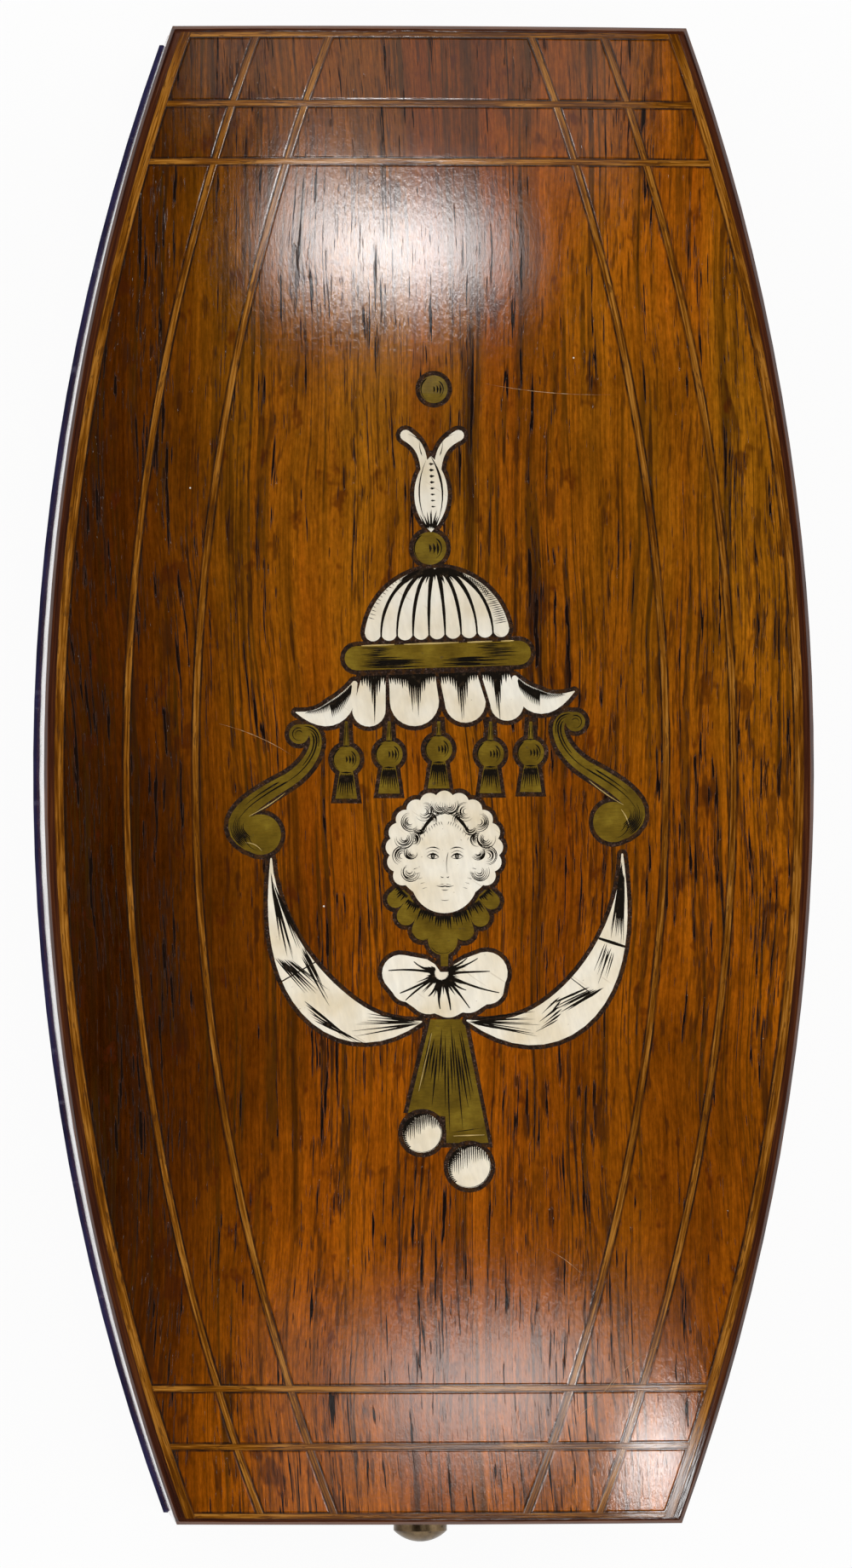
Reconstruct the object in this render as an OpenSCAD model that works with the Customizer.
// Barrel-shaped sewing case with a hinged marquetry lid, a push-button lock and a fitted tray of tools.
// Z is up, X is the width, Y is the length. The hinge is at +Y, the button at -Y.
// The origin is on the underside, in the middle of the length and width.

/* [Case] */
// Length from the hinge end to the button end
case_len = 130; // [126:1:140]
// Width across the bowed sides at the widest point
case_w = 67; // [64:1:74]
// Radius of each bowed side
side_r = 192; // [180:2:240]
// How far the widest point lies from mid length, towards the hinge
belly_shift = 0.55; // [0:0.05:1.5]
// Height of the base, underside to lid joint
base_h = 17; // [16.5:0.5:21]
// Height of the lid wall, joint to top edge
lid_wall_h = 9.5; // [9:0.5:13]
// Rise of the barrel-shaped top above its edge
crown_h = 3; // [2:0.25:5]
// Thickness of the bowed side walls
side_t = 3.6; // [3:0.2:4.4]
// Thickness of the end walls, which hold the hinge and the lock
end_t = 5; // [5:0.2:6]
// Thickness of the floor board
floor_t = 2.5; // [2:0.25:2.5]
// Thickness of the lid board at its edge
lid_board_t = 2.6; // [2.2:0.2:3]
// Thickness of the rosewood on the walls
veneer_t = 0.8; // [0.6:0.1:1]
// Thickness of the rosewood on the lid top
top_veneer_t = 0.9; // [0.8:0.1:1.2]
// Thickness of the paper on the underside
paper_t = 0.4; // [0.2:0.1:0.6]
// How far the underside paper stands out round the base
paper_out = 0.3; // [0.1:0.1:0.5]

/* [Strings] */
// Depth of the grooves that the light strings lie in
string_depth = 0.6; // [0.4:0.1:0.7]
// Width of the border strings along the sides
side_string_w = 0.82; // [0.5:0.02:1.2]
// Width of the border strings along the ends
end_string_w = 0.45; // [0.3:0.05:0.9]
// Dark banding outside the side border strings
side_band_w = 0.87; // [0.6:0.01:1.4]
// Dark banding outside the end border strings
end_band_w = 0.52; // [0.4:0.02:1.2]
// Width of the thin stave and hoop strings
thin_string_w = 0.55; // [0.3:0.05:0.9]
// Outer stave string, from the lid side to its middle
stave_in_1 = 7.1; // [5:0.1:9]
// Inner stave string, from the lid side to its middle
stave_in_2 = 13.06; // [11:0.02:14.5]
// Outer hoop string, from the lid end to its middle
hoop_in_1 = 6.75; // [4:0.25:9]
// Inner hoop string, from the lid end to its middle
hoop_in_2 = 11.8; // [10:0.2:16]

/* [Inlay] */
// Width of the dark mastic line round each inlaid piece
mastic_w = 0.4; // [0.2:0.05:0.5]
// Share of the width between the inner staves that the inlay takes
inlay_fill = 0.85; // [0.7:0.01:0.88]
// Turn of the canopy, whose right side sits a little higher
canopy_turn = 2; // [-4:0.5:4]

/* [Lock] */
// Diameter of the push button
button_d = 4.7; // [4:0.1:5]
// How far the button stands out of the front
button_out = 2.3; // [2.2:0.1:4]
// Height of the domed end of the button
button_dome_h = 1; // [0.6:0.1:1.4]
// Height of the button below the lid joint
button_drop = 4.7; // [4.7:0.1:5.2]
// Travel of the button
button_travel = 0.8; // [0.6:0.1:0.9]
// Width of the lock plate
lock_w = 13; // [11:0.5:16]
// Height of the lock plate
lock_h = 11.5; // [11:0.5:12]
// Thickness of the brass lock plate
lock_plate_t = 0.6; // [0.5:0.1:0.7]
// Thickness of the steel lock spring
lock_spring_t = 0.4; // [0.3:0.05:0.5]
// Thickness of the lid hook
hook_t = 0.8; // [0.6:0.1:0.9]
// Depth of the lid hook below the joint
hook_drop = 3.4; // [3.3:0.1:3.5]

/* [Hinge] */
// Length of the hinge
hinge_len = 26; // [20:1:30]
// Radius of the hinge knuckles
knuckle_r = 1.2; // [1:0.1:1.4]
// Radius of the hinge pin
pin_r = 0.55; // [0.45:0.05:0.65]
// How far the hinge knuckles lie inside the hinge end
hinge_in = 0.1; // [0.05:0.05:0.3]
// How far the lid opens, in degrees
lid_opens = 95; // [85:1:100]
// Thickness of the hinge leaves
leaf_t = 0.8; // [0.7:0.1:1]

/* [Tray] */
// Depth of the tray's top below the lid joint
tray_drop = 2; // [1.5:0.25:2.5]
// Thickness of the padded lining under the lid board
pad_t = 1.6; // [1.2:0.1:1.8]

/* [Scissors] */
// Length of the blades from the pivot to the tip
blade_len = 42; // [36:1:44]
// Width of each blade at the pivot
blade_w = 4.6; // [4:0.2:5]
// Distance from the pivot to the middle of the bows
shank_len = 36; // [34:1:38]
// Radius of the bows to the middle of their round bar
bow_r = 7.9; // [7:0.1:8.2]
// Radius of the round bar of the bows
bow_bar_r = 1.25; // [1:0.05:1.4]
// Thickness of the closed scissors at the pivot
scissors_t = 2.9; // [2.6:0.1:3.2]
// Turn of each half that the recess leaves room for, in degrees
scissors_swing = 4; // [2:0.5:4]

/* [Thimble] */
// Radius of the thimble at its mouth
thimble_r = 8; // [7.4:0.1:8.2]
// Radius of the thimble at its crown
thimble_top_r = 6.4; // [5.8:0.1:6.8]
// Height of the thimble
thimble_h = 18; // [16:0.5:18]
// Thickness of the thimble wall
thimble_wall = 0.7; // [0.5:0.05:1]

/* [Long tools] */
// Radius of the needle case
case_r = 3.8; // [3.4:0.1:3.8]
// Length of the needle case body without its neck
case_body_len = 38; // [34:1:38]
// Length of the needle case cap
case_cap_len = 20; // [16:1:20]
// Length of the neck that the cap slides on
case_neck_len = 6; // [4:0.5:6]
// Wall of the needle case and its cap
case_wall = 0.5; // [0.4:0.05:0.6]
// Length of the needles
needle_len = 35; // [28:1:35]
// Length of the stiletto handle
stiletto_handle_len = 34; // [28:1:36]
// Radius of the stiletto handle
stiletto_r = 3.2; // [2.8:0.1:3.4]
// Length of the stiletto point
stiletto_point_len = 30; // [24:1:32]
// Length of the bodkin
bodkin_len = 58; // [50:1:60]
// Width of the bodkin
bodkin_w = 3.4; // [2.8:0.2:4]
// Thickness of the bodkin
bodkin_t = 1; // [0.8:0.1:1.2]

/* [Fits] */
// Gap between loose pieces that must not touch
gap = 0.3; // [0.2:0.05:0.35]
// Radial clearance of pins and sliding pieces
run_gap = 0.05; // [0.03:0.01:0.08]

/* [Hidden] */

rosewood = "#7a4320";
dark_rosewood = "#3d1d12";
plain_wood = "#b98d5a";
boxwood = "#c79a4e";
ivory = "#f1ead8";
brass = "#a98a3c";
steel = "#b9bcc0";
velvet = "#6d1f34";
silk = "#e9dfc8";
mastic = "#1d1916";

// Levels
floor_top = paper_t + floor_t;
lid_edge_z = base_h + lid_wall_h;
board_z = lid_edge_z - lid_board_t;
tray_top = base_h - tray_drop;
far = 40;

// The bowed outline
half_w = case_w/2;
half_len = case_len/2;
side_centre_x = side_r - half_w;
wall_in = veneer_t + side_t;
end_in = veneer_t + end_t;
function bowed_half(y, inset = 0) =
    sqrt(pow(side_r - inset, 2) - pow(y - belly_shift, 2)) - side_centre_x;

// The top is part of a barrel turned about a lengthwise axis, with its edge at one level
axis_depth = (half_w*half_w - crown_h*crown_h)/(2*crown_h);
barrel_r = axis_depth + crown_h;
barrel_end_r = sqrt(pow(bowed_half(half_len), 2) + pow(axis_depth, 2));
barrel_drop = barrel_r - barrel_end_r;
barrel_run = half_len - belly_shift;
barrel_long_r = (barrel_run*barrel_run + barrel_drop*barrel_drop)/(2*barrel_drop);
barrel_steps = 8;
barrel_reach = half_len + 1;

// The lock, from the front of its pocket to the inner face of the front wall
front_in_y = -(half_len - end_in);
spring_room = 1.4;
hook_front_gap = gap;
pocket_y = front_in_y - lock_plate_t - spring_room - lock_spring_t - gap - hook_t - hook_front_gap;
hook_y = pocket_y + hook_front_gap;
spring_y = hook_y + hook_t + gap;
cover_y = front_in_y - lock_plate_t;
button_z = base_h - button_drop;
button_r = button_d/2;
stem_r = 1;
stem_gap = 0.15;
bush_wall = 0.5;
bush_depth = 1;
bush_lip = 0.3;
bush_r = button_r + stem_gap + bush_wall;
head_back = 0.1;
hook_w = 5;
window_w = 2.6;
window_h = 1.2;
window_drop = 1.3;
nose_gap = 0.2;
spring_w = 4;
foot_h = 1.4;
top_flange_t = 0.8;
hook_flange_w = 10;
lock_screw_x = 4.3;

// The hinge
hinge_y = half_len - hinge_in - knuckle_r;
bevel_angle = lid_opens/2 + 1.5;
hinge_segments = 5;
segment_gap = 0.15;
segment_len = (hinge_len - (hinge_segments - 1)*segment_gap)/hinge_segments;
leaf_y = hinge_y - knuckle_r - gap;
leaf_in = half_len - end_in + 0.4;
screw_r = 0.45;
screw_head_r = 0.85;
screw_head_t = 0.4;
screw_len = 3;
hinge_screw_x = [-1, 0, 1]*hinge_len*0.365;
hinge_screw_y = (leaf_in + leaf_y)/2;

// The tray and what lies in it
tray_in = wall_in + gap;
tray_end = half_len - end_in - gap;
tool_end_gap = 0.5;
rest_gap = gap;

// Scissors lie in the middle with their bows towards the button
bow_x = bow_r + bow_bar_r + 0.45;
scissors_y = -tray_end + 3.4 + bow_r + bow_bar_r + shank_len;
scissors_floor = tray_top - scissors_t - 1.4;
scissors_z = scissors_floor + rest_gap;
layer_gap = 0.1;
layer_t = (scissors_t - layer_gap)/2;
hub_r = blade_w*0.74;
swing_x = shank_len*sin(scissors_swing);
bow_room = tool_end_gap + gap;
scoop_depth = 4;
pivot_r = 0.9;
pivot_head_r = 1.9;
pivot_head_t = 0.5;

// The thimble stands on its mouth near the hinge
thimble_y = tray_end - 3.2 - thimble_r;
thimble_floor = floor_top + 0.6;
thimble_crown_r = 3;

// The needle case lies on the left, the stiletto and the bodkin on the right
case_x = -(half_w - 18.9);
case_axis_z = tray_top - 2.2;
case_y = -8;
case_bore_r = case_r - 2*case_wall - run_gap;
neck_r = case_r - case_wall - run_gap;
cap_travel = case_neck_len + 0.5;
needle_r = 0.35;
needle_count = 5;
bodkin_x = half_w - 11.5;
stiletto_x = bodkin_x - 7.6;
stiletto_y = 17;
stiletto_axis_z = tray_top - 2.2;
stiletto_neck_r = 1.3;
bodkin_y = -26;
bodkin_eye_r = 0.8;

// Shapes that many sub-parts share

// The case outline, drawn in from its sides and its ends
module outline(in_side = 0, in_end = 0) {
    intersection() {
        translate([side_centre_x, belly_shift]) circle(r = side_r - in_side, $fn = 256);
        translate([-side_centre_x, belly_shift]) circle(r = side_r - in_side, $fn = 256);
        square([case_w + 2, case_len - 2*in_end], center = true);
    }
}

module upright(z0, z1) translate([0, 0, z0]) linear_extrude(height = z1 - z0) children();

// A box from its low corner to its high corner
module block(low, high) translate(low) cube(high - low);

// A round bar along Y
module rod(r, y0, y1, x = 0, z = 0) {
    translate([x, y0, z]) rotate([-90, 0, 0]) cylinder(r = r, h = y1 - y0, $fn = 48);
}

// The barrel, grown outwards by rise. Its long curve runs in short straight steps.
module barrel(rise = 0) {
    function radius_at(y) =
        barrel_r - barrel_long_r + sqrt(pow(barrel_long_r + rise, 2) - pow(y - belly_shift, 2));
    translate([0, 0, lid_edge_z - axis_depth]) rotate([-90, 0, 0])
        rotate_extrude($fn = 256) polygon(concat(
            [[0, -barrel_reach]],
            [for (i = [0:barrel_steps]) let (y = barrel_reach*(2*i/barrel_steps - 1)) [radius_at(y), y]],
            [[0, barrel_reach]]
        ));
}

// A flat shape cut through a layer of the top, between two depths
module top_layer(depth, from = 0) {
    intersection() {
        upright(board_z, lid_edge_z + far) children();
        difference() {
            barrel(-from);
            barrel(-depth);
        }
    }
}

// Cuts a flat shape into the top, down to a depth
module top_cut(depth) {
    difference() {
        upright(board_z - 1, lid_edge_z + crown_h + 1) children();
        barrel(-depth);
    }
}

module hinge_clearance() {
    translate([-hinge_len/2 - gap, hinge_y, base_h]) rotate([0, 90, 0])
        cylinder(r = knuckle_r + gap, h = hinge_len + 2*gap, $fn = 48);
    hinge_bevel();
}

// Base and lid slope away from the hinge axis, so that the lid can turn back
module hinge_bevel() {
    reach = half_len + 1 - hinge_y;
    rise = reach*tan(bevel_angle);
    translate([-half_w - 1, hinge_y, base_h]) rotate([90, 0, 90])
        linear_extrude(height = case_w + 2) polygon([[0, 0], [reach, -rise], [reach, rise]]);
}

module hinge_screw_places() for (x = hinge_screw_x) translate([x, hinge_screw_y, base_h]) children();

// A countersunk screw whose head is level with z = 0 and whose shank points down
module screw() {
    translate([0, 0, -screw_head_t]) cylinder(r1 = screw_r, r2 = screw_head_r, h = screw_head_t, $fn = 24);
    translate([0, 0, -screw_len]) cylinder(r = screw_r, h = screw_len - screw_head_t, $fn = 24);
}

// Base carcass

module base_floor() color(plain_wood) upright(paper_t, floor_top) outline(veneer_t, veneer_t);

module wall_half(side, z0, z1, in_outer, in_inner, in_end) {
    upright(z0, z1) intersection() {
        difference() {
            outline(in_outer, in_end);
            outline(in_inner, 0);
        }
        translate([side*half_w, 0]) square([case_w, case_len], center = true);
    }
}

module base_side(side) color(plain_wood)
    wall_half(side, floor_top, base_h, veneer_t, wall_in, end_in);
module base_side_left() base_side(-1);
module base_side_right() base_side(1);

module end_wall(side, z0, z1) {
    upright(z0, z1) intersection() {
        outline(veneer_t, veneer_t);
        translate([0, side*(half_len - end_in/2)]) square([case_w, end_in], center = true);
    }
}

module base_end_front() color(plain_wood) difference() {
    end_wall(-1, floor_top, base_h);
    block([-lock_w/2, pocket_y, base_h - lock_h], [lock_w/2, 0, base_h + 1]);
    rod(stem_r + stem_gap, -half_len, 0, 0, button_z);
    rod(bush_r, -half_len - 1, -half_len + bush_depth, 0, button_z);
}

module base_end_back() color(plain_wood) difference() {
    end_wall(1, floor_top, base_h);
    hinge_clearance();
    leaf_space(-1);
    hinge_screw_places() translate([0, 0, -screw_len - 1]) cylinder(r = screw_r, h = screw_len + 1, $fn = 24);
}

// Room for a hinge leaf in the wall below (-1) or above (1) the joint
module leaf_space(side) {
    block(
        [-hinge_len/2, leaf_in, base_h + (side < 0 ? -leaf_t : 0)],
        [hinge_len/2, hinge_y, base_h + (side < 0 ? 0 : leaf_t)]
    );
}

module side_veneer(side, z0, z1) color(rosewood) difference() {
    wall_half(side, z0, z1, 0, veneer_t, veneer_t);
    hinge_bevel();
}
module base_veneer_left() side_veneer(-1, paper_t, base_h);
module base_veneer_right() side_veneer(1, paper_t, base_h);

module end_veneer(side, z0, z1) color(rosewood) {
    upright(z0, z1) intersection() {
        outline();
        translate([0, side*(half_len - veneer_t/2)]) square([case_w, veneer_t], center = true);
    }
}

module base_veneer_front() difference() {
    end_veneer(-1, paper_t, base_h);
    rod(bush_r, -half_len - 1, -half_len + bush_depth, 0, button_z);
}
module base_veneer_back() difference() {
    end_veneer(1, paper_t, base_h);
    hinge_clearance();
    leaf_space(-1);
}

module underside_paper() color("#18183a") upright(0, paper_t) outline(-paper_out, -paper_out);

// Lock and button

module button_bush() color(brass) difference() {
    union() {
        rod(bush_r, -half_len, -half_len + bush_depth, 0, button_z);
        rod(bush_r + 0.4, -half_len - bush_lip, -half_len, 0, button_z);
    }
    rod(button_r + stem_gap, -half_len - 1, -half_len + bush_depth + 1, 0, button_z);
}

module push_button() color("#4a3a2a") {
    tip_r = (button_r*button_r + button_dome_h*button_dome_h)/(2*button_dome_h);
    rim_y = -half_len - button_out + button_dome_h;
    translate([0, 0, button_z]) rotate([90, 0, 0]) rotate_extrude($fn = 64) intersection() {
        translate([0, -rim_y + button_dome_h - tip_r]) circle(r = tip_r, $fn = 128);
        square([button_r, half_len + button_out]);
        translate([0, half_len - head_back]) square([button_r, button_out + 1]);
    }
    rod(stem_r, -half_len + head_back, spring_y - 0.05, 0, button_z);
}

module lock_plate() color(brass) difference() {
    union() {
        block([-lock_w/2, cover_y, base_h - lock_h], [lock_w/2, front_in_y, base_h]);
        block([-lock_w/2, pocket_y, base_h - top_flange_t], [lock_w/2, cover_y, base_h]);
    }
    block(
        [-hook_w/2 - gap, pocket_y - 1, base_h - top_flange_t - 1],
        [hook_w/2 + gap, hook_y + hook_t + gap, base_h + 1]
    );
    for (x = [-lock_screw_x, lock_screw_x]) translate([x, front_in_y, base_h - lock_h + 2])
        rotate([-90, 0, 0]) screw();
}

// A flat spring whose nose holds the lid hook and is pushed back by the button
module lock_spring() color(steel) {
    window_top = base_h - window_drop;
    foot_z = base_h - lock_h + 0.5;
    block([-spring_w/2, spring_y, foot_z], [spring_w/2, spring_y + lock_spring_t, window_top + 0.2]);
    block([-spring_w/2, spring_y + lock_spring_t, foot_z], [spring_w/2, cover_y, foot_z + foot_h]);
    block(
        [-window_w/2 + nose_gap, hook_y + 0.1, window_top - window_h + nose_gap],
        [window_w/2 - nose_gap, spring_y, window_top - nose_gap]
    );
}

module lock_hook() color(brass) difference() {
    union() {
        block([-hook_w/2, hook_y, base_h - hook_drop], [hook_w/2, hook_y + hook_t, base_h]);
        block([-hook_flange_w/2, pocket_y, base_h], [hook_flange_w/2, cover_y, base_h + leaf_t]);
    }
    block(
        [-window_w/2, hook_y - 1, base_h - window_drop - window_h],
        [window_w/2, hook_y + hook_t + 1, base_h - window_drop]
    );
    hook_screw_places() rotate([180, 0, 0]) screw();
}

module hook_screw_places() for (x = [-1, 1])
    translate([x*(hook_flange_w/2 - 1.4), (pocket_y + cover_y)/2, base_h]) children();

module base_screws() color(brass) {
    hinge_screw_places() screw();
    for (x = [-lock_screw_x, lock_screw_x]) translate([x, front_in_y, base_h - lock_h + 2])
        rotate([-90, 0, 0]) intersection() {
            screw();
            translate([0, 0, -lock_plate_t]) cylinder(r = 2, h = lock_plate_t, $fn = 24);
        }
}

module lid_screws() color(brass) {
    hinge_screw_places() rotate([180, 0, 0]) screw();
    hook_screw_places() rotate([180, 0, 0]) screw();
}

// Hinge

function segment_x(i) = -hinge_len/2 + i*(segment_len + segment_gap);

module hinge_leaf(side) color(brass) {
    first = side < 0 ? 0 : 1;
    z0 = side < 0 ? base_h - leaf_t : base_h;
    difference() {
        union() {
            block([-hinge_len/2, leaf_in, z0], [hinge_len/2, leaf_y, z0 + leaf_t]);
            for (i = [first:2:hinge_segments - 1]) {
                block([segment_x(i), leaf_y - 0.01, z0], [segment_x(i) + segment_len, hinge_y, z0 + leaf_t]);
                translate([segment_x(i), hinge_y, base_h]) rotate([0, 90, 0])
                    cylinder(r = knuckle_r, h = segment_len, $fn = 48);
            }
        }
        translate([-hinge_len/2 - 1, hinge_y, base_h]) rotate([0, 90, 0])
            cylinder(r = pin_r + run_gap, h = hinge_len + 2, $fn = 32);
        hinge_screw_places() rotate([side < 0 ? 0 : 180, 0, 0]) screw();
    }
}
module hinge_leaf_base() hinge_leaf(-1);
module hinge_leaf_lid() hinge_leaf(1);

module hinge_pin() color(steel)
    translate([-(hinge_len + gap)/2, hinge_y, base_h]) rotate([0, 90, 0])
        cylinder(r = pin_r, h = hinge_len + gap, $fn = 32);

// Lid carcass

module lid_board() color(plain_wood) intersection() {
    upright(board_z, lid_edge_z + far) outline(veneer_t, veneer_t);
    barrel(-top_veneer_t);
}

module lid_side(side) color(plain_wood) wall_half(side, base_h, board_z, veneer_t, wall_in, end_in);
module lid_side_left() lid_side(-1);
module lid_side_right() lid_side(1);

module lid_end_front() color(plain_wood) difference() {
    end_wall(-1, base_h, board_z);
    block([-hook_flange_w/2, pocket_y, base_h - 1], [hook_flange_w/2, 0, base_h + leaf_t]);
    hook_screw_places() cylinder(r = screw_r, h = screw_len, $fn = 24);
}

module lid_end_back() color(plain_wood) difference() {
    end_wall(1, base_h, board_z);
    hinge_clearance();
    leaf_space(1);
    hinge_screw_places() cylinder(r = screw_r, h = screw_len, $fn = 24);
}

module under_top_veneer() intersection() {
    children();
    barrel(-top_veneer_t);
}
module lid_veneer_left() under_top_veneer() side_veneer(-1, base_h, lid_edge_z);
module lid_veneer_right() under_top_veneer() side_veneer(1, base_h, lid_edge_z);
module lid_veneer_front() under_top_veneer() end_veneer(-1, base_h, lid_edge_z);
module lid_veneer_back() difference() {
    under_top_veneer() end_veneer(1, base_h, lid_edge_z);
    hinge_clearance();
    leaf_space(1);
}

module lid_pad() color(silk) upright(board_z - pad_t, board_z) outline(wall_in + gap, end_in + gap);

// Top veneer, banding and strings

string_out_side = side_band_w + side_string_w;
string_out_end = end_band_w + end_string_w;

module border_2d() difference() {
    outline(side_band_w, end_band_w);
    outline(string_out_side, string_out_end);
}

module hoops_2d() intersection() {
    outline(string_out_side, string_out_end);
    for (d = [hoop_in_1, hoop_in_2], s = [-1, 1])
        translate([0, s*(half_len - d)]) square([case_w, thin_string_w], center = true);
}

module staves_2d() difference() {
    for (d = [stave_in_1, stave_in_2]) difference() {
        outline(d - thin_string_w/2, string_out_end);
        outline(d + thin_string_w/2, 0);
    }
    hoops_2d();
}

module top_veneer() color(rosewood) difference() {
    top_layer(top_veneer_t) outline(side_band_w, end_band_w);
    top_cut(string_depth) {
        border_2d();
        hoops_2d();
        staves_2d();
    }
    upright(board_z, lid_edge_z + far) motif() inlay_2d(line_w);
}

module top_banding() color(dark_rosewood) top_layer(top_veneer_t) difference() {
    outline();
    outline(side_band_w, end_band_w);
}
module border_strings() color(boxwood) top_layer(string_depth) border_2d();
module hoop_strings() color(boxwood) top_layer(string_depth) hoops_2d();
module stave_strings() color(boxwood) top_layer(string_depth) staves_2d();

// Inlay. Each flat shape takes g, the amount it is grown by to leave the mastic line.
// It is drawn with its scrolls 17.374 mm from the middle, and then scaled to its share of the width.
motif_scale = inlay_fill*(half_w - stave_in_2)/17.374;
line_w = mastic_w/motif_scale;
motif_x = 0.2;
module motif() translate([motif_x, 0]) scale([motif_scale, motif_scale]) children();

// A point, and the direction across, on a cubic curve with four control points
function on_curve(p, t) =
    pow(1 - t, 3)*p[0] + 3*t*pow(1 - t, 2)*p[1] + 3*t*t*(1 - t)*p[2] + t*t*t*p[3];
function across(p, t) =
    let (d = pow(1 - t, 2)*(p[1] - p[0]) + 2*t*(1 - t)*(p[2] - p[1]) + t*t*(p[3] - p[2]))
    [-d[1], d[0]]/norm(d);

// Points along an arc
function arc_points(centre, r, from, to, steps = 8) =
    [for (i = [0:steps]) let (a = from + (to - from)*i/steps) centre + r*[cos(a), sin(a)]];

// A band along a cubic curve with round ends, with a width at each end and a swell between them.
// A lean above 1 moves the swell towards the curve's end.
module band(p, w0, w1, swell = 0, g = 0, steps = 12, lean = 1) {
    function half_at(t) = (w0*(1 - t) + w1*t + swell*sin(180*pow(t, lean)))/2 + g;
    function side(s, t) = on_curve(p, t) + s*half_at(t)*across(p, t);
    start = across(p, 0);
    end = across(p, 1);
    start_a = atan2(start[1], start[0]);
    end_a = atan2(end[1], end[0]);
    polygon(concat(
        arc_points(p[0], half_at(0), start_a, start_a + 180, 6),
        [for (i = [1:steps - 1]) side(-1, i/steps)],
        arc_points(p[3], half_at(1), end_a - 180, end_a, 6),
        [for (i = [1:steps - 1]) side(1, 1 - i/steps)]
    ));
}

// A pointed oval from two arcs, upright, given its length and width
module leaf_oval(length, width, g = 0) {
    r = (length*length/4 + width*width/4)/width;
    intersection() {
        translate([r - width/2, 0]) circle(r = r + g, $fn = 96);
        translate([width/2 - r, 0]) circle(r = r + g, $fn = 96);
    }
}

// A symmetric trapezoid from its half width and height at the bottom and at the top
module trapezoid(low_half, low_y, top_half, top_y) polygon([
    [-low_half, low_y], [low_half, low_y], [top_half, top_y], [-top_half, top_y]
]);

// A tongue: a straight-sided piece with a round end, from its top corners down
module tongue(top_l, top_r, low_l, low_r, low_y, g = 0) {
    r = (low_r - low_l)/2;
    polygon(concat(
        [[top_l[0] - g, top_l[1] + g]],
        arc_points([(low_l + low_r)/2, low_y + r], r + g, 180, 360, 12),
        [[top_r[0] + g, top_r[1] + g]]
    ));
}

module turned_canopy() translate([0, 10]) rotate([0, 0, canopy_turn]) translate([0, -10]) children();

module bud_2d(g = 0) translate([-0.25, 24.3]) {
    leaf_oval(6.6, 2.9, g);
    band([[-0.55, 1.4], [-0.55, 3.6], [-1.1, 4.4], [-2.2, 5.1]], 0.6, 0.95, 0, g);
    band([[0.55, 1.4], [0.55, 3.6], [1.1, 4.4], [2.4, 5.1]], 0.6, 0.95, 0, g);
}

canopy_r = 6.35;
canopy_x = 0.35;
canopy_y = 12.4;
canopy_flutes = 9;
module canopy_2d(g = 0) {
    flute_r = canopy_r/canopy_flutes;
    turned_canopy() {
        intersection() {
            translate([canopy_x, canopy_y - 0.9]) circle(r = canopy_r + g, $fn = 96);
            translate([canopy_x - canopy_r - 1, canopy_y]) square([2*canopy_r + 2, canopy_r + 1]);
        }
        for (i = [0:canopy_flutes - 1])
            translate([canopy_x + (2*i + 1 - canopy_flutes)*flute_r*0.985, canopy_y])
                circle(r = flute_r*0.97 + g, $fn = 32);
    }
}

module valance_2d(g = 0) turned_canopy() {
    tongue([-6.35, 8.55], [-4.25, 8.55], -7.25, -4.35, 4.35, g);
    tongue([-3.95, 8.55], [0.05, 8.55], -3.95, 0.3, 4.25, g);
    tongue([0.4, 8.55], [3.7, 8.55], 0.8, 4.35, 4.4, g);
    tongue([4.05, 8.55], [6.45, 8.55], 4.75, 7.65, 4.45, g);
    band([[-6.95, 8.1], [-7.9, 5.9], [-9.3, 4.6], [-12.1, 5.8]], 0.5, 0.1, 1.75, g);
    band([[6.95, 8.1], [7.9, 6.1], [9.4, 5.0], [12.1, 6.8]], 0.5, 0.1, 1.75, g);
}

module bar_2d(g = 0) {
    turned_canopy() polygon(concat(
        arc_points([7.4, 10.3], 1.05 + g, -90, 90),
        arc_points([-6.7, 10.3], 1.05 + g, 90, 270)
    ));
    translate([0, 33.4]) circle(r = 1.2 + g, $fn = 48);
    translate([-0.35, 19.6]) circle(r = 1.42 + g, $fn = 48);
}

tassel_x = [-7.6, -3.9, 0.4, 4.9, 8.4];
tassel_y = [1.3, 1.75, 2.2, 1.8, 1.9];
tassel_ball_r = 1.17;
tassel_skirt = 3.4;
module tassels_2d(g = 0) {
    for (i = [0:len(tassel_x) - 1]) translate([tassel_x[i], tassel_y[i]]) {
        circle(r = tassel_ball_r + g, $fn = 48);
        trapezoid(0.32 + g, 0, 0.12 + g, 4.6 - tassel_y[i] + g);
        trapezoid(0.95 + g, -tassel_skirt - g, 0.4 + g, 0);
    }
}

module scroll_2d(g = 0) {
    translate([-11.7, 3.5]) circle(r = 0.85 + g, $fn = 48);
    band([[-11.6, 3.9], [-9.4, 4.3], [-9.9, 1.2], [-12.6, -0.5]], 0.85, 1.2, 0, g);
    band([[-12.6, -0.5], [-15.4, -2.1], [-18.9, -4.2], [-16.0, -6.0]], 1.2, 1.3, 0.25, g);
    translate([-15, -5.2]) circle(r = 1.75 + g, $fn = 48);
}
module scrolls_2d(g = 0) {
    scroll_2d(g);
    translate([0.6, 1.1]) mirror([1, 0]) scroll_2d(g);
}

// A round head plaque with an edge of curls and a narrower chin
mask_at = [0.9, -6.5];
mask_r = 4.55;
curl_count = 15;
module mask_2d(g = 0) translate(mask_at) {
    circle(r = mask_r + g, $fn = 96);
    for (i = [0:curl_count - 1]) let (a = -32 + i*244/(curl_count - 1))
        translate((mask_r - 0.3)*[cos(a), sin(a)]) circle(r = 0.85 + g, $fn = 32);
    translate([0, -2.6]) circle(r = 2.9 + g, $fn = 64);
}

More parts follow.
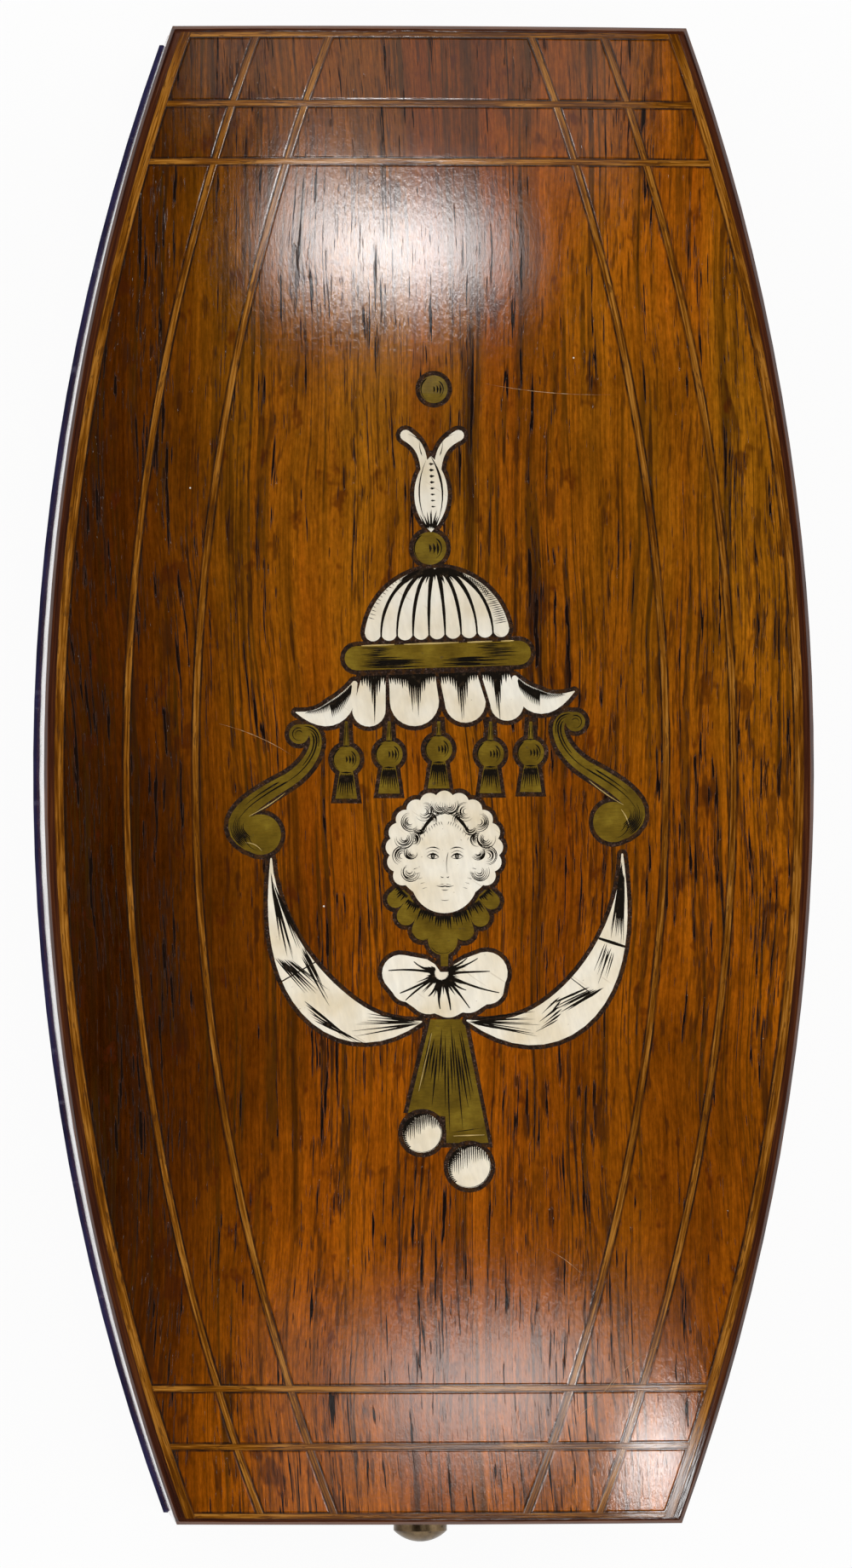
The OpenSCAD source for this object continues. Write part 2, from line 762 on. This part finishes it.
petal_turn = 14.5;
module ruff_2d(g = 0) difference() {
    translate(mask_at) {
        for (i = [-3:3]) let (d = 7.85 - 0.6*abs(i), r = 1.3 - 0.33*min(1, abs(i)) - 0.08*abs(i))
            rotate([0, 0, 269 + petal_turn*i]) polygon(concat(
                [[3, -0.6*r - g]],
                arc_points([d, 0], r + g, -90, 90),
                [[3, 0.6*r + g]]
            ));
        trapezoid(0.3 + g, -10.1 - g, 0.4 + g, -8);
    }
    if (g == 0) {
        mask_2d(line_w);
        shell_2d(line_w);
    }
}

// A fan shell: two round shoulders beside a notch, and five lobes along its foot
shell_at = [0.9, -17.2];
shell_foot = [[-3.2, -1.1, 1.4, 205, 265], [-1.35, -1.85, 1.7, 222, 287], [0.35, -2.3, 1.55, 240, 302],
    [2.05, -1.75, 1.7, 255, 312], [3.75, -1.2, 1.5, 268, 335]];
module shell_2d(g = 0) translate(shell_at) polygon(concat(
    arc_points([3.65, 0], 1.85 + g, -28, 104),
    [[1.7, 1.25 + g], [0.85, 0.75 + g], [0.35, 0.1 + g], [-0.35, 0.1 + g], [-0.8, 0.75 + g], [-1.5, 1.2 + g]],
    arc_points([-3.8, 0], 1.6 + g, 78, 212),
    [for (lobe = shell_foot) each arc_points([lobe[0], lobe[1]], lobe[2] + g, lobe[3], lobe[4], 5)]
));

left_crescent = [[-14.1, -7.3], [-14.2, -15.6], [-9.4, -24.3], [-1.1, -21.4]];
right_crescent = [[16.4, -6.9], [16.9, -15.6], [12.4, -25.0], [2.9, -21.3]];
crescent_joints = [0.42, 0.3];
module crescents_2d(g = 0) {
    for (i = [0, 1]) let (p = i == 0 ? left_crescent : right_crescent) difference() {
        band(p, 0.15, 0.15, 3.7, g, 20, 1.3);
        if (g == 0) {
            n = across(p, crescent_joints[i]);
            translate(on_curve(p, crescent_joints[i])) rotate([0, 0, atan2(n[1], n[0])])
                square([6, 0.12], center = true);
        }
    }
}

pearl_1 = [-1, -31.05];
pearl_2 = [3.1, -33.95];
pearl_1_r = 1.7;
pearl_2_r = 1.85;
module pearls_2d(g = 0) {
    translate(pearl_1) circle(r = pearl_1_r + g, $fn = 64);
    translate(pearl_2) circle(r = pearl_2_r + g, $fn = 64);
}

module pendant_2d(g = 0) difference() {
    polygon([
        [-0.3 - g, -21.2], [-2.25 - g, -29.3], [1.0 - g, -29.6],
        [1.1 - g, -31.9 - g], [4.75 + g, -31.9 - g], [2.6 + g, -21.2]
    ]);
    if (g == 0) {
        pearls_2d(line_w);
        crescents_2d(line_w);
    }
}

module ivory_2d(g = 0) {
    bud_2d(g);
    canopy_2d(g);
    valance_2d(g);
    mask_2d(g);
    shell_2d(g);
    crescents_2d(g);
    pearls_2d(g);
}
module brass_2d(g = 0) {
    bar_2d(g);
    tassels_2d(g);
    scrolls_2d(g);
    ruff_2d(g);
    pendant_2d(g);
}
module inlay_2d(g = 0) {
    ivory_2d(g);
    brass_2d(g);
}

module mastic_fill() color(mastic) difference() {
    top_layer(top_veneer_t) motif() inlay_2d(line_w);
    upright(board_z - 1, lid_edge_z + far) motif() inlay_2d();
}
module ivory_bud() color(ivory) top_layer(top_veneer_t) motif() bud_2d();
module ivory_canopy() color(ivory) top_layer(top_veneer_t) motif() canopy_2d();
module ivory_valance() color(ivory) top_layer(top_veneer_t) motif() valance_2d();
module ivory_mask() color(ivory) top_layer(top_veneer_t) motif() mask_2d();
module ivory_shell() color(ivory) top_layer(top_veneer_t) motif() shell_2d();
module ivory_crescents() color(ivory) top_layer(top_veneer_t) motif() crescents_2d();
module ivory_pearls() color(ivory) top_layer(top_veneer_t) motif() pearls_2d();
module brass_bar() color(brass) top_layer(top_veneer_t) motif() bar_2d();
module brass_tassels() color(brass) top_layer(top_veneer_t) motif() tassels_2d();
module brass_scrolls() color(brass) top_layer(top_veneer_t) motif() scrolls_2d();
module brass_ruff() color(brass) top_layer(top_veneer_t) motif() ruff_2d();
module brass_pendant() color(brass) top_layer(top_veneer_t) motif() pendant_2d();

// Fitted tray

module scissors_recess_2d() {
    blade_room = blade_len*sin(scissors_swing) + 1.2;
    translate([0, scissors_y]) {
        polygon([
            [-blade_w/2 - 2, 0], [blade_w/2 + 2, 0],
            [blade_room, blade_len + tool_end_gap], [-blade_room, blade_len + tool_end_gap]
        ]);
        polygon([
            [-bow_x - swing_x, -shank_len + bow_r/2], [bow_x + swing_x, -shank_len + bow_r/2],
            [blade_w/2 + 2, 0], [-blade_w/2 - 2, 0]
        ]);
    }
    bow_rooms_2d();
}

module bow_rooms_2d() {
    r = bow_r + bow_bar_r + bow_room;
    x = bow_x + swing_x;
    y = scissors_y - shank_len;
    polygon(concat(arc_points([x, y], r, -90, 90, 24), arc_points([-x, y], r, 90, 270, 24)));
}

// A trough along Y with a round bottom, open at the tray's top
module round_trough(r, y0, y1, x, z) {
    translate([x, y1, 0]) rotate([90, 0, 0]) linear_extrude(height = y1 - y0)
        polygon(concat([[r, tray_top + 1], [-r, tray_top + 1]], arc_points([0, z], r, 180, 360, 16)));
}

module fitted_tray() color(velvet) difference() {
    upright(floor_top, tray_top) outline(tray_in, end_in + gap);
    upright(scissors_floor, tray_top + 1) scissors_recess_2d();
    for (s = [-1, 1]) translate([s*bow_x, scissors_y - shank_len, scissors_floor - scoop_depth])
        cylinder(r = bow_r, h = scoop_depth + 1, $fn = 96);
    translate([0, thimble_y, thimble_floor]) cylinder(r = thimble_r + gap, h = tray_top, $fn = 96);
    round_trough(
        case_r + gap, case_y - tool_end_gap,
        case_y + case_body_len + case_cap_len + cap_travel + tool_end_gap, case_x, case_axis_z
    );
    round_trough(
        stiletto_r + gap, stiletto_y - tool_end_gap, stiletto_y + stiletto_handle_len + tool_end_gap,
        stiletto_x, stiletto_axis_z
    );
    block(
        [stiletto_x - stiletto_neck_r - 1, stiletto_y - stiletto_point_len - 1, stiletto_axis_z - stiletto_neck_r - gap],
        [stiletto_x + stiletto_neck_r + 1, stiletto_y, tray_top + 1]
    );
    block(
        [bodkin_x - bodkin_w/2 - gap, bodkin_y - gap, tray_top - bodkin_t - gap],
        [bodkin_x + bodkin_w/2 + gap, bodkin_y + bodkin_len + gap, tray_top + 1]
    );
}

// Tools

module thimble() color(brass) translate([0, thimble_y, thimble_floor]) rotate_extrude($fn = 96) {
    difference() {
        thimble_solid_2d(0);
        thimble_solid_2d(thimble_wall);
    }
    translate([thimble_r - thimble_wall/2, thimble_wall/2]) circle(r = thimble_wall/2, $fn = 24);
}

// Half section of the thimble, drawn in by its wall for the inside
module thimble_solid_2d(inset) {
    bottom = inset > 0 ? -1 : 0;
    top = thimble_h - inset;
    corner = thimble_crown_r - inset;
    polygon([
        [0, bottom], [thimble_r - inset, bottom], [thimble_r - inset, 0],
        [thimble_top_r - inset, top - corner], [0, top - corner]
    ]);
    translate([0, top - corner]) square([thimble_top_r - inset - corner, corner]);
    intersection() {
        translate([thimble_top_r - inset - corner, top - corner]) circle(r = corner, $fn = 48);
        translate([0, top - corner]) square([thimble_top_r, corner + 1]);
    }
}

// Turned work along Y, from a half section whose X is the radius and whose Y is the length
module turned(x, y, z) translate([x, y, z]) rotate([-90, 0, 0]) rotate_extrude($fn = 64) children();

module ring_grooves(r, places) for (y = places) translate([r, y]) circle(r = 0.25, $fn = 16);

module needle_case_body() color(ivory) turned(case_x, case_y, case_axis_z) difference() {
    union() {
        intersection() {
            translate([0, case_r]) circle(r = case_r, $fn = 64);
            square([case_r, case_r]);
        }
        translate([0, case_r]) square([case_r, case_body_len - case_r]);
        translate([0, case_body_len - 1]) square([neck_r, case_neck_len + 1]);
    }
    translate([0, case_body_len + case_neck_len - needle_len - 1.5]) square([case_bore_r, needle_len + 10]);
    ring_grooves(case_r, [case_r + 1, case_r + 2, case_body_len - 2, case_body_len - 1.2]);
}

module needle_case_cap() color(ivory) turned(case_x, case_y + case_body_len, case_axis_z) difference() {
    union() {
        square([case_r, case_cap_len - case_r]);
        intersection() {
            translate([0, case_cap_len - case_r]) circle(r = case_r, $fn = 64);
            translate([0, case_cap_len - case_r]) square([case_r, case_r + 1]);
        }
    }
    translate([0, -1]) square([case_r - case_wall, case_cap_len - case_r + 1]);
    ring_grooves(case_r, [1.2, 2, case_cap_len - case_r - 1]);
}

module needles() color(steel) for (i = [0:needle_count - 1])
    let (a = -90 + 18*(i - (needle_count - 1)/2), d = case_bore_r - needle_r - 0.02)
        translate([case_x + d*cos(a), case_y + case_body_len + case_neck_len - needle_len - 1.3, case_axis_z + d*sin(a)])
            rotate([-90, 0, 0]) {
                cylinder(r = needle_r, h = needle_len - 4, $fn = 16);
                translate([0, 0, needle_len - 4]) cylinder(r1 = needle_r, r2 = 0.08, h = 4, $fn = 16);
            }

module stiletto_handle() color(ivory) turned(stiletto_x, stiletto_y, stiletto_axis_z) difference() {
    union() {
        polygon([
            [0, 0], [stiletto_neck_r + 0.5, 0], [stiletto_neck_r + 0.9, 2], [stiletto_r - 0.7, 10],
            [stiletto_r, stiletto_handle_len - 12], [stiletto_r - 0.9, stiletto_handle_len - 5],
            [stiletto_r - 0.9, stiletto_handle_len - 3], [0, stiletto_handle_len - 3]
        ]);
        intersection() {
            translate([0, stiletto_handle_len - 2.6]) circle(r = 2.6, $fn = 48);
            translate([0, stiletto_handle_len - 5.2]) square([2.6, 5.2]);
        }
    }
    translate([0, -1]) square([stiletto_neck_r, 7]);
    ring_grooves(stiletto_neck_r + 0.85, [1.2, 2]);
}

module stiletto_point() color(steel) turned(stiletto_x, stiletto_y, stiletto_axis_z) polygon([
    [0, 6], [stiletto_neck_r, 6], [stiletto_neck_r, -1], [stiletto_neck_r*0.75, -3],
    [0.12, -stiletto_point_len], [0, -stiletto_point_len]
]);

// A flat needle with a long eye and a small one, its blunt point towards the button
module bodkin() color(steel) translate([bodkin_x, bodkin_y, tray_top - bodkin_t])
    linear_extrude(height = bodkin_t) difference() {
        bodkin_outline_2d();
        translate([0, bodkin_len - 4]) square([2*bodkin_eye_r, 5], center = true);
        translate([0, bodkin_len - 9]) circle(r = bodkin_eye_r/2, $fn = 24);
    }

module bodkin_outline_2d() {
    widths = [[0.25, 0], [0.5, 0.35], [0.75, 0.09*bodkin_len], [0.95, 0.3*bodkin_len], [1, 0.55*bodkin_len]];
    polygon(concat(
        [for (i = [0:len(widths) - 1]) [widths[i][0]*bodkin_w/2, widths[i][1]]],
        arc_points([0, bodkin_len - bodkin_w/2], bodkin_w/2, 0, 180, 12),
        [for (i = [len(widths) - 1:-1:0]) [-widths[i][0]*bodkin_w/2, widths[i][1]]]
    ));
}

// One half of the scissors. The lower half has its bow at -X, the upper half at +X.
module scissors_half(side) {
    z0 = side < 0 ? 0 : layer_t + layer_gap;
    translate([0, scissors_y, scissors_z]) difference() {
        union() {
            translate([0, 0, z0]) linear_extrude(height = layer_t) {
                circle(r = hub_r, $fn = 64);
                scissors_blade_2d(side);
                intersection() {
                    scissors_shank_2d(side);
                    translate([-case_w/2, -hub_r - gap - 1]) square([case_w, hub_r + gap + 1]);
                }
            }
            linear_extrude(height = scissors_t) difference() {
                scissors_shank_2d(side);
                circle(r = hub_r + gap, $fn = 64);
                translate([-case_w/2, -hub_r/2]) square([case_w, far]);
            }
            translate([side*bow_x, -shank_len, scissors_t/2]) rotate_extrude($fn = 96)
                translate([bow_r, 0]) circle(r = bow_bar_r, $fn = 32);
        }
        translate([0, 0, -1]) cylinder(r = pivot_r + run_gap, h = scissors_t + 2, $fn = 32);
    }
}

module scissors_blade_2d(side) {
    edge = -side*blade_w*0.1;
    polygon([
        [-blade_w/2, 0], [blade_w/2, 0], [blade_w/2 - 0.3, 6], [edge + 0.25, blade_len],
        [edge - 0.25, blade_len], [-blade_w/2 + 0.3, 6]
    ]);
}

// The shank runs from the hub to the near side of its bow
module scissors_shank_2d(side) {
    foot = [side*(bow_x - bow_r*0.35), -shank_len + bow_r*0.94];
    band([[side*1.7, -1.5], [side*2.2, -9], [side*3, -18], foot], 2.6, 2, 0.4);
}

module scissors_left() color(steel) scissors_half(-1);
module scissors_right() color(steel) scissors_half(1);

module scissors_screw() color(brass) translate([0, scissors_y, scissors_z]) {
    cylinder(r = pivot_r, h = scissors_t + pivot_head_t/2, $fn = 32);
    translate([0, 0, scissors_t + 0.05]) cylinder(r1 = pivot_head_r, r2 = pivot_head_r - 0.3, h = pivot_head_t, $fn = 48);
    translate([0, 0, -rest_gap]) cylinder(r = pivot_r, h = rest_gap, $fn = 32);
}

base_floor();
base_side_left();
base_side_right();
base_end_front();
base_end_back();
base_veneer_left();
base_veneer_right();
base_veneer_front();
base_veneer_back();
underside_paper();
fitted_tray();
button_bush();
lock_plate();
lock_spring();
base_screws();
hinge_leaf_base();
hinge_pin();
thimble();
needle_case_body();
needle_case_cap();
needles();
stiletto_handle();
stiletto_point();
bodkin();
scissors_left();
scissors_right();
scissors_screw();
push_button();
lid_board();
lid_side_left();
lid_side_right();
lid_end_front();
lid_end_back();
lid_veneer_left();
lid_veneer_right();
lid_veneer_front();
lid_veneer_back();
top_veneer();
top_banding();
border_strings();
stave_strings();
hoop_strings();
mastic_fill();
ivory_bud();
ivory_canopy();
ivory_valance();
ivory_mask();
ivory_shell();
ivory_crescents();
ivory_pearls();
brass_bar();
brass_tassels();
brass_scrolls();
brass_ruff();
brass_pendant();
hinge_leaf_lid();
lid_screws();
lock_hook();
lid_pad();
